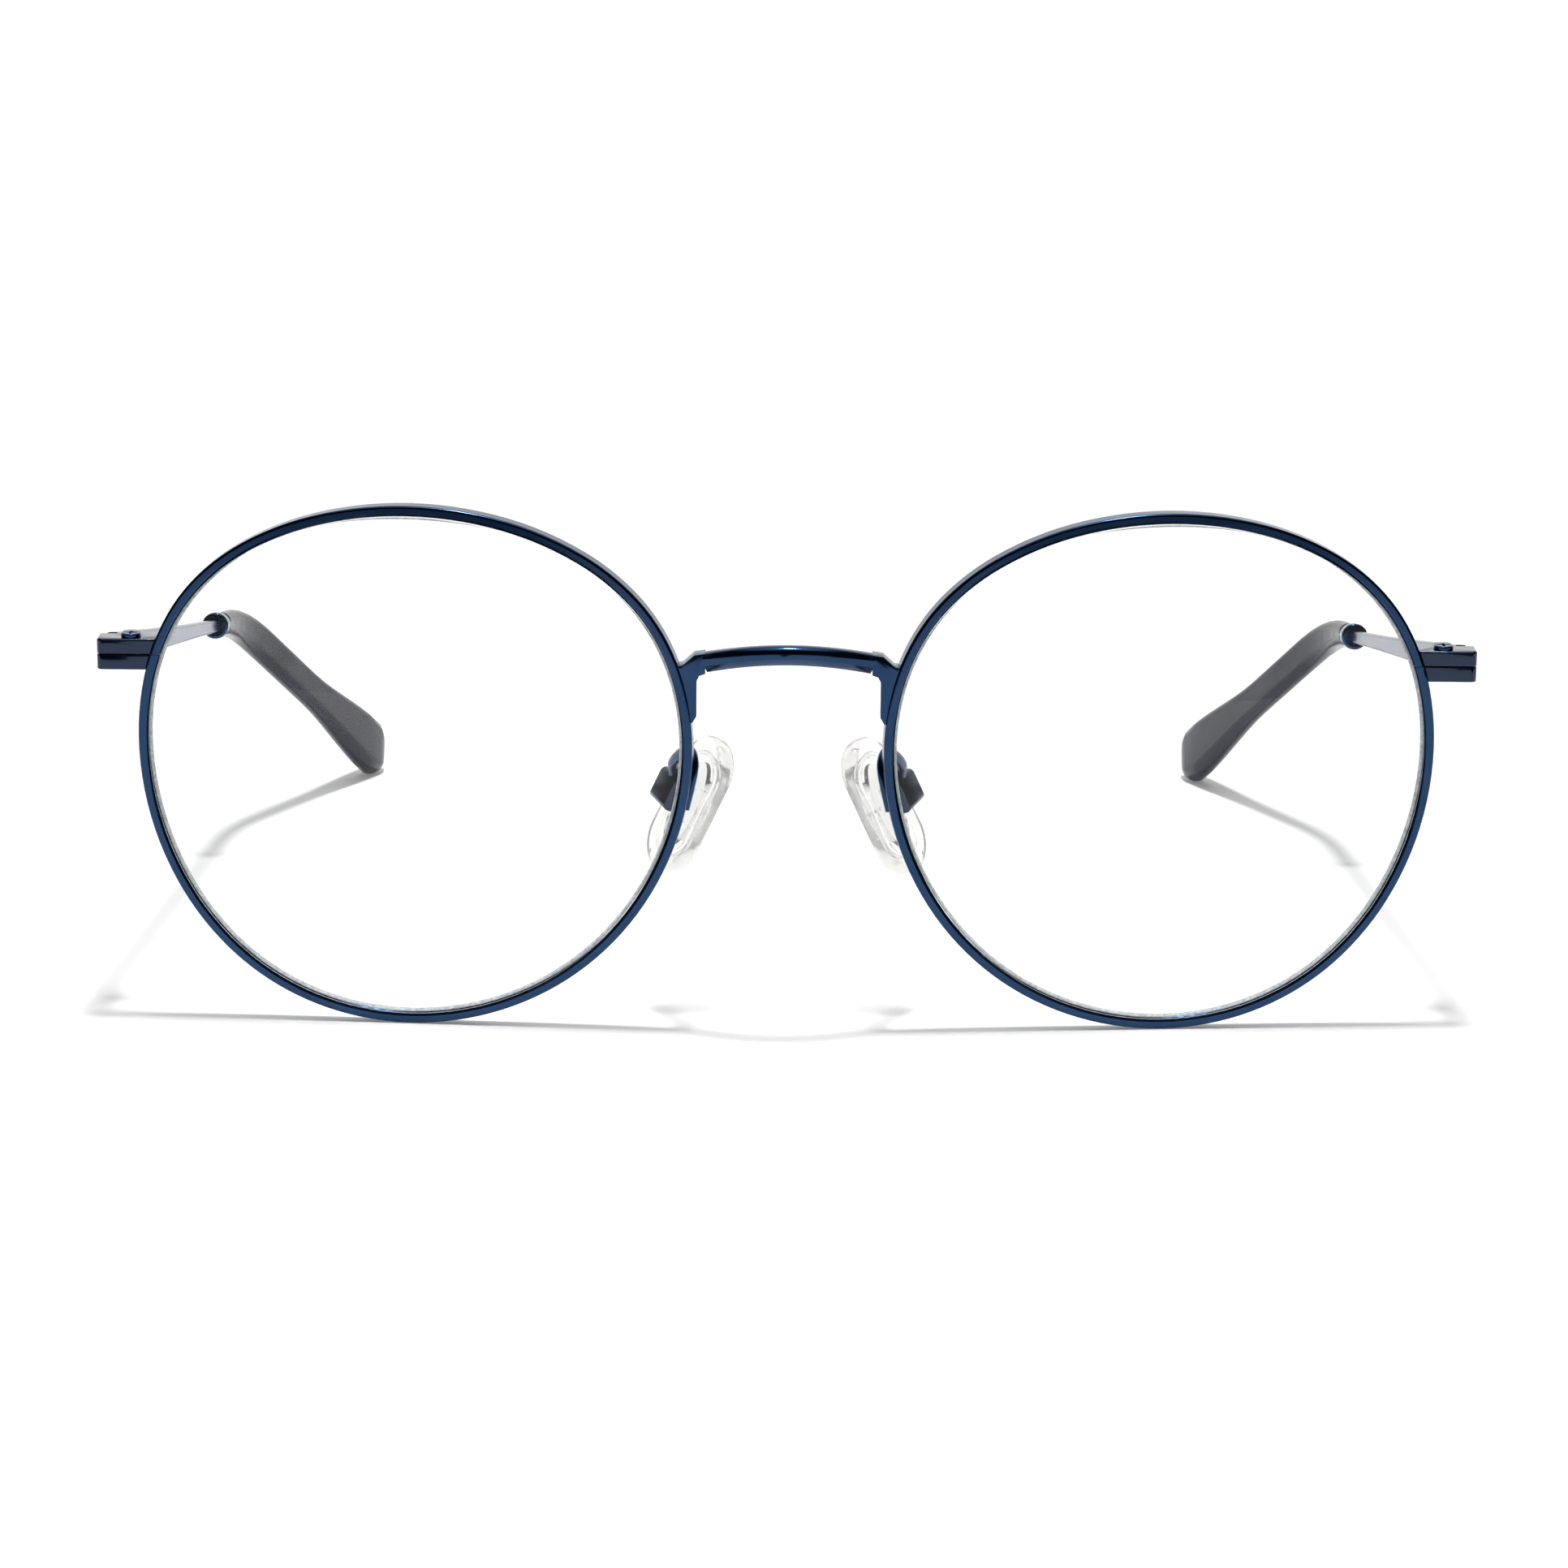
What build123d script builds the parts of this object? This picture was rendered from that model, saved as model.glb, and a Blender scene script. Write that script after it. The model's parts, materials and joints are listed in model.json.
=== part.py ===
"""Round wire eyeglasses, standing open on the rims and the temple tips.

+X is the wearer's left, +Y runs back along the temples, +Z is up. Sizes are millimetres.
Everything is drawn with the front upright and then leaned forward by front_lean.
"""
import math
import os

from build123d import *

# Eye shape: a circle with small waves added, as seen from the front
eye_radius = 25.9
eye_wider = 0.60
eye_skew = -0.10
eye_brow_skew = -0.16
eye_brow = 0.61
eye_square = -0.24
eye_arcs = 24
eye_spacing = 71.8
face_wrap = 5.2
front_lean = 3.5

# Rims and lenses
rim_width = 1.0
rim_depth = 1.9
rim_rounding = 0.26
rim_inner_bevel_width = 0.28
rim_inner_bevel_depth = 0.22
lens_curve_radius = 132.0
lens_thickness = 1.8
bevel_height = 0.50
bevel_half_width = 0.60
lens_inset = 0.02

# Bridge
bridge_middle_height = 38.0
bridge_end_drop = 1.4
bridge_forward = 2.9
bridge_half_span = 8.1
bridge_tall = 1.9
bridge_deep = 1.8
bridge_facet = 0.75
bridge_top_rounding = 0.7
foot_inner_x = 8.77
foot_bottom_z = 30.9

# Endpieces
block_height = 3.0
block_depth = 2.5
block_split = 0.12
block_middle_z = 35.9
block_outer_x = 66.3
block_front_y = 1.5
arm_thickness = 1.2
rim_screw_x = 63.1
screw_head_radius = 0.95
screw_head_height = 0.40
screw_shank_radius = 0.55

# Hinges
pivot_x = 63.9
pivot_y = 9.5
knuckle_radius = 1.1
knuckle_gap = 0.06
hinge_screw_radius = 0.55
hinge_running_gap = 0.05
hinge_plate_thickness = 0.45
butt_gap = 0.12

# Temples and their tips
temple_drop = 10.9
temple_toe_in = 2.4
temple_tall_front = 3.2
temple_tall_back = 1.25
temple_thick = 1.15
temple_bar_length = 70.6
core_wire_radius = 0.5
core_wire_overlap = 2.0
core_wire_corners = (7.0, 13.0, 19.0, 26.0)
collar_length = 2.3
collar_radius = 1.45
tip_length = 60.0
tip_straight = 3.0
tip_bend_run = 21.0
tip_bend_down = 21.4
tip_bend_in = 16.8
tip_section_step = 3.0
tip_front_tall = 2.6
tip_front_thick = 2.1
tip_neck_tall = 4.3
tip_neck_at = 22.0
tip_flare_from = 36.0
tip_flare_run = 21.0
tip_end_tall = 7.0
tip_end_thick = 2.9
core_short_of_end = 9.0

# Nose pads
pad_centre = (9.5, 7.4, 20.0)
pad_frontal_angle = 25.0
pad_splay_angle = 30.0
pad_length = 14.6
pad_width = 8.0
pad_thickness = 2.4
pad_plate_length = 9.0
pad_plate_width = 4.2
pad_plate_thickness = 0.8
pad_box_length = 3.4
pad_box_width = 3.1
pad_box_depth = 2.3
pad_cheek = 0.75
pad_lug_gap = 0.12
pad_box_standoff = 0.45
pad_box_raise = 1.0
pad_screw_radius = 0.45
pad_screw_head_radius = 0.75
pad_running_gap = 0.05
pad_arm_radius = 0.55


def wave_sum(angle, order_weight):
    """Add up the eye's waves at an angle, each scaled by order_weight(order)."""
    return (order_weight(2) * (eye_wider * math.cos(2 * angle) + eye_skew * math.sin(2 * angle))
            + order_weight(3) * (eye_brow_skew * math.cos(3 * angle) + eye_brow * math.sin(3 * angle))
            + order_weight(4) * eye_square * math.cos(4 * angle))


def eye_reach(angle):
    """How far the eye reaches out from its centre in one direction."""
    return eye_radius + wave_sum(angle, lambda order: 1.0)


def direction(angle):
    return Vector(math.cos(angle), math.sin(angle), 0)


def eye_outline(grow):
    """A smooth closed outline of tangent arcs around the eye, grown outward by grow."""
    step = 2 * math.pi / eye_arcs
    rise = 2 * eye_skew + 3 * eye_brow
    point = Vector(eye_reach(0) + grow, rise, 0)
    arcs = []
    for index in range(eye_arcs):
        start_angle = index * step
        radius = eye_radius + grow + wave_sum(start_angle + step / 2, lambda order: 1 - order * order)
        centre = point - direction(start_angle) * radius
        middle = centre + direction(start_angle + step / 2) * radius
        end = centre + direction(start_angle + step) * radius
        arcs.append((point, middle, end))
        point = end
    first = arcs[0][0]
    last = arcs[-1]
    arcs[-1] = (last[0], last[1], first)
    return make_face([ThreePointArc(*arc) for arc in arcs])


def outline_at(grow, y):
    return Plane.XZ.offset(-y) * eye_outline(grow)


def eye_prism(grow, front_y, back_y):
    return extrude(outline_at(grow, front_y), amount=front_y - back_y)


eye_bottom = eye_reach(1.5 * math.pi) + rim_width / 2


def in_eye_place(shape):
    """Move a shape drawn around the eye centre to the +X eye."""
    return Pos(eye_spacing / 2, 0, eye_bottom) * Rot(0, 0, face_wrap) * shape


def make_lens():
    inner = -rim_width / 2 - lens_inset
    ridge = inner + bevel_height
    core = eye_prism(inner, -5, 4)
    front_bevel = loft([outline_at(inner, -bevel_half_width), outline_at(ridge, 0)], ruled=True)
    back_bevel = loft([outline_at(ridge, 0), outline_at(inner, bevel_half_width)], ruled=True)
    sphere_back = math.sqrt(lens_curve_radius ** 2 - eye_radius ** 2)
    outer_ball = Pos(0, sphere_back, 0) * Sphere(lens_curve_radius + lens_thickness / 2)
    inner_ball = Pos(0, sphere_back, 0) * Sphere(lens_curve_radius - lens_thickness / 2)
    blank = core + front_bevel + back_bevel
    return in_eye_place((blank & outer_ball) - inner_ball)


def make_rim(lens):
    ring = eye_prism(rim_width / 2, -rim_depth / 2, rim_depth / 2)
    rounded = ring.faces().sort_by(Axis.Y)[0].edges() + ring.faces().sort_by(Axis.Y)[-1].edges()
    ring = fillet(rounded, rim_rounding)
    ring = ring - eye_prism(-rim_width / 2, -3, 3)
    front_y = -rim_depth / 2
    bevel_front = outline_at(rim_inner_bevel_width - rim_width / 2, front_y - 0.001)
    bevel_back = outline_at(-rim_width / 2, front_y + rim_inner_bevel_depth)
    ring = ring - loft([bevel_front, bevel_back], ruled=True)
    split = Pos(block_outer_x - 4, 3, block_middle_z) * Box(9, 12, block_split)
    return in_eye_place(ring) - lens - split


def filled_rim():
    return in_eye_place(eye_prism(rim_width / 2, -8, 8))


def make_bridge(keep_out):
    low = bridge_middle_height - bridge_end_drop
    arch = ThreePointArc((-bridge_half_span, low), (0, bridge_middle_height), (bridge_half_span, low))
    nose_y = rim_nasal_y()
    plan = ThreePointArc((-bridge_half_span, nose_y), (0, nose_y - bridge_forward), (bridge_half_span, nose_y))
    front_view = make_band(arch, bridge_tall)
    top_view = make_band(plan, bridge_deep)
    tall_block = extrude(Plane.XZ.offset(12) * front_view, amount=-24)
    flat_block = extrude(Plane.XY.offset(30) * top_view, amount=14)
    bar = tall_block & flat_block
    long_edges = bar.edges().filter_by(lambda edge: edge.length > 2 * bridge_half_span * 0.95)
    bar = fillet(long_edges.sort_by(Axis.Z)[-2:], bridge_top_rounding)
    low_front = bar.edges().filter_by(lambda edge: edge.length > 2 * bridge_half_span * 0.95)
    low_front = low_front.sort_by(lambda edge: edge.center().Y + edge.center().Z)[:1]
    bar = chamfer(low_front, bridge_facet)
    feet = make_bridge_foot(nose_y)
    feet = feet - keep_out
    return bar + feet + mirror(feet, about=Plane.YZ)


def make_band(curve, width):
    """A flat strip of the given width centred on a curve through three points."""
    radius = curve.radius
    centre = curve.arc_center
    reach = curve @ 1
    side = 1 if reach.Y > centre.Y else -1
    sweep_angle = math.atan2(abs(reach.X - centre.X), side * (reach.Y - centre.Y))
    edges = []
    corners = []
    for grow in (width / 2, -width / 2):
        points = []
        for turn in (-sweep_angle, 0, sweep_angle):
            size = radius + grow
            points.append((centre.X + size * math.sin(turn), centre.Y + side * size * math.cos(turn)))
        edges.append(ThreePointArc(*points))
        corners.append((points[0], points[2]))
    edges.append(Line(corners[0][0], corners[1][0]))
    edges.append(Line(corners[0][1], corners[1][1]))
    return make_face(edges)


def rim_nasal_y():
    return -eye_radius * math.sin(math.radians(face_wrap))


def make_bridge_foot(nose_y):
    """The +X end block of the bridge with its leg down the side of the rim."""
    low = bridge_middle_height - bridge_end_drop
    half = bridge_tall / 2
    corners = [
        (bridge_half_span - 0.15, low + half + 0.05),
        (bridge_half_span + 0.9, low + half - 0.1),
        (bridge_half_span + 2.0, low - 0.15),
        (bridge_half_span + 5.0, low - 0.5),
        (bridge_half_span + 5.0, foot_bottom_z),
        (foot_inner_x + 0.9, foot_bottom_z - 0.3),
        (foot_inner_x + 0.35, foot_bottom_z),
        (foot_inner_x, foot_bottom_z + 0.6),
        (foot_inner_x, low - half - 0.7),
        (foot_inner_x - 0.25, low - half - 0.2),
        (bridge_half_span - 0.15, low - half),
    ]
    face = Plane.XZ.offset(-nose_y + bridge_deep / 2 + 0.1) * make_face(Polyline(corners, close=True))
    return extrude(face, amount=-bridge_deep - 0.2)


def box_between(low, high):
    size = [high[i] - low[i] for i in range(3)]
    middle = [(high[i] + low[i]) / 2 for i in range(3)]
    return Pos(*middle) * Box(*size)


def rod_up(x, y, low_z, high_z, radius):
    return Pos(x, y, (low_z + high_z) / 2) * Cylinder(radius, high_z - low_z)


def block_range():
    return block_middle_z - block_height / 2, block_middle_z + block_height / 2


def make_rim_screw():
    low, high = block_range()
    y = block_front_y + block_depth / 2
    head = rod_up(rim_screw_x, y, high, high + screw_head_height, screw_head_radius)
    head = fillet(head.faces().sort_by(Axis.Z)[-1].edges(), 0.15)
    shank = rod_up(rim_screw_x, y, low, high, screw_shank_radius)
    top = high + screw_head_height
    slot = Pos(rim_screw_x, y, top) * (Box(1.2, 0.25, 0.4) + Box(0.25, 1.2, 0.4))
    return head + shank - slot


def line_height(y):
    """Height of the line that the endpiece arm and the temple follow down toward the back."""
    start_y = block_front_y + block_depth / 2
    return block_middle_z - (y - start_y) * math.tan(math.radians(temple_drop))


def sloped_bar(inner_x, outer_x, front_y, back_y, half_height):
    """A bar that follows the sloping line, with upright ends."""
    corners = [
        (front_y, line_height(front_y) + half_height),
        (back_y, line_height(back_y) + half_height),
        (back_y, line_height(back_y) - half_height),
        (front_y, line_height(front_y) - half_height),
    ]
    face = Plane.YZ.offset(inner_x) * make_face(Polyline(corners, close=True))
    return extrude(face, amount=outer_x - inner_x)


def make_upper_block(keep_out, screw):
    low, high = block_range()
    inner_x = eye_spacing / 2 + eye_radius * 0.90
    back_y = block_front_y + block_depth
    arm_inner = block_outer_x - arm_thickness
    end_y = pivot_y - butt_gap / 2
    lug = box_between((inner_x, block_front_y, block_middle_z + block_split / 2), (block_outer_x, back_y, high))
    arm = sloped_bar(arm_inner, block_outer_x, back_y - 0.2, end_y, block_height / 2)
    under = box_between((arm_inner - 3, 0, low - 1), (block_outer_x + 1, back_y, block_middle_z + block_split / 2))
    block = lug + (arm - under)
    block = fillet(block.edges().filter_by(Axis.Z).sort_by(lambda e: e.center().Y - e.center().X)[:1], 0.6)
    block = chamfer(block.faces().sort_by(Axis.Z)[-1].edges().filter_by(Axis.Y), 0.15)
    return block - keep_out - screw


def make_lower_block(keep_out, screw):
    low, high = block_range()
    inner_x = eye_spacing / 2 + eye_radius * 0.90
    back_y = block_front_y + block_depth - 0.02
    block = box_between((inner_x, block_front_y, low), (block_outer_x, back_y, block_middle_z - block_split / 2))
    block = fillet(block.edges().filter_by(Axis.Z).sort_by(lambda e: e.center().Y - e.center().X)[:1], 0.6)
    return block - keep_out - screw


def knuckle_levels():
    low = line_height(pivot_y) - block_height / 2
    high = line_height(pivot_y) + block_height / 2
    third = (high - low) / 3
    return [low, low + third, low + 2 * third, high]


def make_front_hinge(screw):
    levels = knuckle_levels()
    face_x = block_outer_x - arm_thickness
    plate_x = face_x - hinge_plate_thickness
    plate = sloped_bar(plate_x, face_x, pivot_y - 4.6, pivot_y - knuckle_radius - 0.15, block_height / 2 - 0.1)
    hinge = plate
    for low, high in ((levels[0], levels[1] - knuckle_gap), (levels[2] + knuckle_gap, levels[3])):
        knuckle = rod_up(pivot_x, pivot_y, low, high, knuckle_radius)
        web = box_between((pivot_x, pivot_y - knuckle_radius - 0.8, low), (plate_x + 0.1, pivot_y, high))
        hinge = hinge + knuckle + web
    return hinge - screw


def make_temple_hinge():
    levels = knuckle_levels()
    low, high = levels[1], levels[2]
    face_x = block_outer_x - arm_thickness
    plate_x = face_x - hinge_plate_thickness
    front_y = pivot_y + knuckle_radius + 0.15
    plate = sloped_bar(plate_x, face_x + 0.5, front_y, pivot_y + 4.6, block_height / 2 - 0.3)
    knuckle = rod_up(pivot_x, pivot_y, low, high, knuckle_radius)
    web = box_between((pivot_x, pivot_y, low), (plate_x + 0.1, pivot_y + knuckle_radius + 0.8, high))
    bore = rod_up(pivot_x, pivot_y, low - 1, high + 1, hinge_screw_radius + hinge_running_gap)
    return plate + knuckle + web - bore


def make_hinge_screw():
    levels = knuckle_levels()
    low, high = levels[0], levels[3]
    shank = rod_up(pivot_x, pivot_y, low - 0.1, high, hinge_screw_radius)
    head = rod_up(pivot_x, pivot_y, high, high + 0.3, 0.85)
    head = fillet(head.faces().sort_by(Axis.Z)[-1].edges(), 0.1)
    slot = Pos(pivot_x, pivot_y, high + 0.3) * Box(2.4, 0.25, 0.3)
    return shank + head - slot


def heading(down, inward):
    """A direction running back, dropping and turning toward the nose, in degrees."""
    down = math.radians(down)
    inward = math.radians(inward)
    return Vector(-math.sin(inward) * math.cos(down), math.cos(inward) * math.cos(down), -math.sin(down))


def temple_start():
    start_y = pivot_y + butt_gap / 2
    return Vector(block_outer_x - temple_thick / 2, start_y, line_height(start_y))


def temple_bar_end():
    return temple_start() + heading(temple_drop, temple_toe_in) * temple_bar_length


def ease(value):
    value = min(max(value, 0.0), 1.0)
    return value * value * (3 - 2 * value)


def tip_point_and_heading(distance):
    """Walk along the tip from its front end and return where it is and where it points."""
    steps = 60
    point = temple_bar_end()
    aim = heading(temple_drop, temple_toe_in)
    for index in range(steps):
        here = distance * (index + 0.5) / steps
        turn = ease((here - tip_straight) / tip_bend_run)
        aim = heading(temple_drop + tip_bend_down * turn, temple_toe_in + tip_bend_in * turn)
        point = point + aim * (distance / steps)
    return point, aim


def section_plane(point, aim):
    """A plane across the temple: its x direction is sideways and its y direction is tall."""
    sideways = Vector(1, 0, 0) - aim * aim.X
    return Plane(origin=point, x_dir=sideways, z_dir=aim)


def make_temple():
    start = temple_start()
    aim = heading(temple_drop, temple_toe_in)
    front = section_plane(start, aim) * RectangleRounded(temple_thick, temple_tall_front, 0.25)
    middle_plane = section_plane(start + aim * (temple_bar_length * 0.55), aim)
    middle = middle_plane * RectangleRounded(temple_thick, 1.9, 0.25)
    back = section_plane(start + aim * (temple_bar_length - 1), aim) * RectangleRounded(
        temple_thick, temple_tall_back, 0.25)
    bar = loft([front, middle, back])
    bar = bar - box_between((pivot_x - 9, 0, 20), (block_outer_x + 9, pivot_y + butt_gap / 2, 60))
    return bar + make_core_wire()


def make_core_wire():
    """The wire inside the tip: straight runs joined by tangent arcs, starting inside the back of the bar."""
    aim = heading(temple_drop, temple_toe_in)
    points = [temple_bar_end() - aim * core_wire_overlap]
    for distance in core_wire_corners:
        points.append(tip_point_and_heading(distance)[0])
    points.append(tip_point_and_heading(tip_length - core_short_of_end)[0])
    runs = [after - before for before, after in zip(points, points[1:])]
    radii = []
    for before, after in zip(runs, runs[1:]):
        half_turn = math.radians(before.get_angle(after)) / 2
        radii.append(0.45 * min(before.length, after.length) / math.tan(half_turn))
    path = FilletPolyline(*points, radius=radii)
    return sweep(section_plane(points[0], aim) * Circle(core_wire_radius), path=path)


def tip_section(distance):
    point, aim = tip_point_and_heading(distance)
    neck = ease(distance / tip_neck_at)
    flare = ease((distance - tip_flare_from) / tip_flare_run)
    tall = tip_front_tall + (tip_neck_tall - tip_front_tall) * neck + (tip_end_tall - tip_neck_tall) * flare
    thick = tip_front_thick + (tip_end_thick - tip_front_thick) * flare
    left = tip_length - distance
    if left < tip_end_tall / 2:
        shrink = math.sqrt(max(1 - (1 - left / (tip_end_tall / 2)) ** 2, 0.03))
        tall = tall * shrink
        thick = thick * (0.4 + 0.6 * shrink)
    tall = max(tall, thick * 1.15)
    return section_plane(point, aim) * RectangleRounded(thick, tall, thick * 0.49)


def make_temple_tip(temple):
    round_end = tip_end_tall / 2
    count = int((tip_length - round_end) / tip_section_step)
    places = [index * tip_section_step for index in range(count + 1)]
    places += [tip_length - round_end * share for share in (0.8, 0.6, 0.42, 0.27, 0.15, 0.06, 0.02)]
    tip = loft([tip_section(place) for place in places], ruled=True)
    return tip - temple


def make_tip_collar(temple):
    aim = heading(temple_drop, temple_toe_in)
    start = temple_bar_end() - aim * collar_length
    plane = section_plane(start, aim)
    ring = extrude(plane * Circle(collar_radius), amount=collar_length - 0.02)
    ring = fillet(ring.edges().filter_by(GeomType.CIRCLE), 0.3)
    return ring - temple


def pad_frame():
    frontal = math.radians(pad_frontal_angle)
    splay = math.radians(pad_splay_angle)
    normal = Vector(-math.cos(splay) * math.cos(frontal), math.sin(splay), -math.cos(splay) * math.sin(frontal))
    upward = Vector(-math.sin(frontal), 0, math.cos(frontal))
    return Plane(origin=pad_centre, x_dir=upward, z_dir=normal)


def pad_box_centre():
    """Where the pad box sits in the pad's own frame: along, across and through the pad."""
    return (pad_box_raise, 0, -pad_thickness / 2 - pad_box_standoff - pad_box_depth / 2)


def make_pad_core():
    x, y, z = pad_box_centre()
    plate = Pos(0, 0, -0.2) * extrude(Ellipse(pad_plate_length / 2, pad_plate_width / 2), amount=pad_plate_thickness)
    lug_width = pad_box_width - 2 * pad_cheek - 2 * pad_lug_gap
    lug_far = z - pad_box_depth / 2 + pad_cheek * 0.6 + 0.30
    lug = box_between((x - 0.85, -lug_width / 2, lug_far), (x + 0.85, lug_width / 2, 0))
    bore = Pos(x, 0, z) * Rot(90, 0, 0) * Cylinder(pad_screw_radius + pad_running_gap, 6)
    return pad_frame() * (plate + lug - bore)


def make_nose_pad(core):
    body = extrude(Ellipse(pad_length / 2, pad_width / 2), amount=pad_thickness)
    body = Pos(0, 0, -pad_thickness / 2) * body
    body = fillet(body.edges(), pad_thickness * 0.42)
    return pad_frame() * body - core


def make_pad_box(screw):
    x, y, z = pad_box_centre()
    outer = Pos(x, y, z) * Box(pad_box_length, pad_box_width, pad_box_depth)
    outer = fillet(outer.edges().filter_by(Axis.Y), 0.6)
    pocket_width = pad_box_width - 2 * pad_cheek
    floor_z = z - pad_box_depth / 2 + pad_cheek * 0.6
    pocket = box_between((x - 9, -pocket_width / 2, floor_z), (x + 9, pocket_width / 2, z + 5))
    return pad_frame() * (outer - pocket) - screw


def make_pad_screw():
    x, y, z = pad_box_centre()
    half = pad_box_width / 2
    shank = Pos(x, 0, z) * Rot(90, 0, 0) * Cylinder(pad_screw_radius, 2 * half + 0.2)
    head = Pos(x, half + 0.15, z) * Rot(90, 0, 0) * Cylinder(pad_screw_head_radius, 0.3)
    slot = Pos(x, half + 0.3, z) * Box(2, 0.3, 0.22)
    return pad_frame() * (shank + head - slot)


def make_pad_arm(neighbours):
    x, y, z = pad_box_centre()
    frame = pad_frame()
    box_top = frame.from_local_coords(Vector(x + 1.1, 0, z - 0.35))
    back_y = rim_nasal_y() + rim_depth / 2
    points = [
        Vector(9.95, back_y - 0.15, 21.9),
        Vector(9.35, back_y + 0.25, 24.4),
        Vector(9.1, back_y + 1.0, 26.3),
        Vector(9.5, back_y + 2.4, 27.05),
        Vector(10.4, back_y + 4.2, 26.3),
        Vector(11.1, back_y + 6.0, 24.9),
        box_top,
    ]
    path = Spline(points, tangents=[Vector(-0.25, 0.1, 1.0), Vector(0.1, 0.35, -0.9)])
    start = Plane(origin=points[0], z_dir=path % 0)
    arm = sweep(start * Circle(pad_arm_radius), path=path)
    for other in neighbours:
        arm = arm - other
    return arm


def make_left_side():
    """All pieces of the wearer's left half, on +X, with the front upright."""
    pieces = {}
    lens = make_lens()
    rim = make_rim(lens)
    keep_out = filled_rim()
    rim_screw = make_rim_screw()
    hinge_screw = make_hinge_screw()
    temple = make_temple()
    temple_hinge = make_temple_hinge()
    pad_screw = make_pad_screw()
    pad_box = make_pad_box(pad_screw)
    pad_core = make_pad_core()
    pieces["lens"] = lens
    pieces["rim"] = rim
    pieces["rim_screw"] = rim_screw
    pieces["upper_block"] = make_upper_block(keep_out, rim_screw)
    pieces["lower_block"] = make_lower_block(keep_out, rim_screw)
    pieces["front_hinge"] = make_front_hinge(hinge_screw)
    pieces["hinge_screw"] = hinge_screw
    pieces["temple_hinge"] = temple_hinge - temple
    pieces["temple"] = temple
    pieces["temple_tip"] = make_temple_tip(temple)
    pieces["tip_collar"] = make_tip_collar(temple)
    pieces["pad_screw"] = pad_screw
    pieces["pad_box"] = pad_box
    pieces["pad_core"] = pad_core
    pieces["nose_pad"] = make_nose_pad(pad_core)
    pieces["pad_arm"] = make_pad_arm([rim, lens, pad_box])
    return pieces, keep_out


def standing_place(shapes):
    """How to lean the glasses forward and set them down centred on the origin."""
    leaned = [Rot(front_lean, 0, 0) * shape for shape in shapes]
    boxes = [shape.bounding_box() for shape in leaned]
    low_z = min(box.min.Z for box in boxes)
    middle_y = (min(box.min.Y for box in boxes) + max(box.max.Y for box in boxes)) / 2
    return Pos(0, -middle_y, -low_z) * Rot(front_lean, 0, 0)


def main():
    os.makedirs("parts", exist_ok=True)
    left_pieces, keep_out = make_left_side()
    bridge = make_bridge(keep_out)
    place = standing_place(list(left_pieces.values()) + [bridge])
    export_step(place * bridge, "parts/bridge.step")
    for name, shape in left_pieces.items():
        export_step(place * shape, "parts/left_" + name + ".step")
        export_step(place * mirror(shape, about=Plane.YZ), "parts/right_" + name + ".step")
    print_joint("temple", place, Vector(pivot_x, pivot_y, line_height(pivot_y)), Vector(0, 0, 1))
    frame = pad_frame()
    print_joint("pad", place, frame.from_local_coords(Vector(*pad_box_centre())), frame.y_dir)


def print_joint(name, place, point, aim):
    """Print a joint's place and axis in the finished frame."""
    here = (place * Location(point)).position
    there = (place * Location(point + aim)).position
    print(name, "pivot", [round(value, 4) for value in here], "axis", [round(value, 5) for value in there - here])


main()
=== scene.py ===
import json
import math

import bpy
from mathutils import Matrix, Vector

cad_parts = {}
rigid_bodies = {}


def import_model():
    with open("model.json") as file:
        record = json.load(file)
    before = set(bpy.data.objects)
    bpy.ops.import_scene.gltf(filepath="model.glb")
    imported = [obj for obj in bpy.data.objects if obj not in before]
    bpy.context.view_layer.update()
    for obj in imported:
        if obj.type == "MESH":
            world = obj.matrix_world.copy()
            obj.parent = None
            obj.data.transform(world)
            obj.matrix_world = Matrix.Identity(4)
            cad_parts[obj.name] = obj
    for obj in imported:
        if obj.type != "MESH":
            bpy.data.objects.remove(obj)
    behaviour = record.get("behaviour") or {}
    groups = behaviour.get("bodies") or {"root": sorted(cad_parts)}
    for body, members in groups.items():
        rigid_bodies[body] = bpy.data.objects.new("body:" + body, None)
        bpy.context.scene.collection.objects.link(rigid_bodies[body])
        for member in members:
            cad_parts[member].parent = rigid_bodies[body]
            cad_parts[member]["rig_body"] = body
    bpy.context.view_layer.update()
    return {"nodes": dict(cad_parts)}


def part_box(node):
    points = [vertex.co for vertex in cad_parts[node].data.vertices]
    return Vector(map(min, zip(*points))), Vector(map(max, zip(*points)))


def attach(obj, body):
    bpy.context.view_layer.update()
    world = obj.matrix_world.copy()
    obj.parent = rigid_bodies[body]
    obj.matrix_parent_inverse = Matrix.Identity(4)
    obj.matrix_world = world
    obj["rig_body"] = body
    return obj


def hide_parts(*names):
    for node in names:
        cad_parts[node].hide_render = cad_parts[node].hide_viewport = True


bl_info = {
    "name": "Round Wire Eyeglasses",
    "version": (1, 0, 0),
    "blender": (4, 5, 0),
    "location": "3D View > Sidebar > Eyeglasses",
    "description": "Models and finishes a pair of round wire eyeglasses around its packed frame",
    "category": "Object",
}

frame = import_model()
SIDES = ("left", "right")
MERGE_DISTANCE = 0.000002
FLAT_ANGLE = math.radians(1.0)
SHARP_ANGLE = math.radians(32)
SMOOTH_ANGLE = math.radians(38)
ROUND_SMOOTH_ANGLE = math.radians(60)
GOLDEN_ANGLE = math.radians(137.5)

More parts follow.
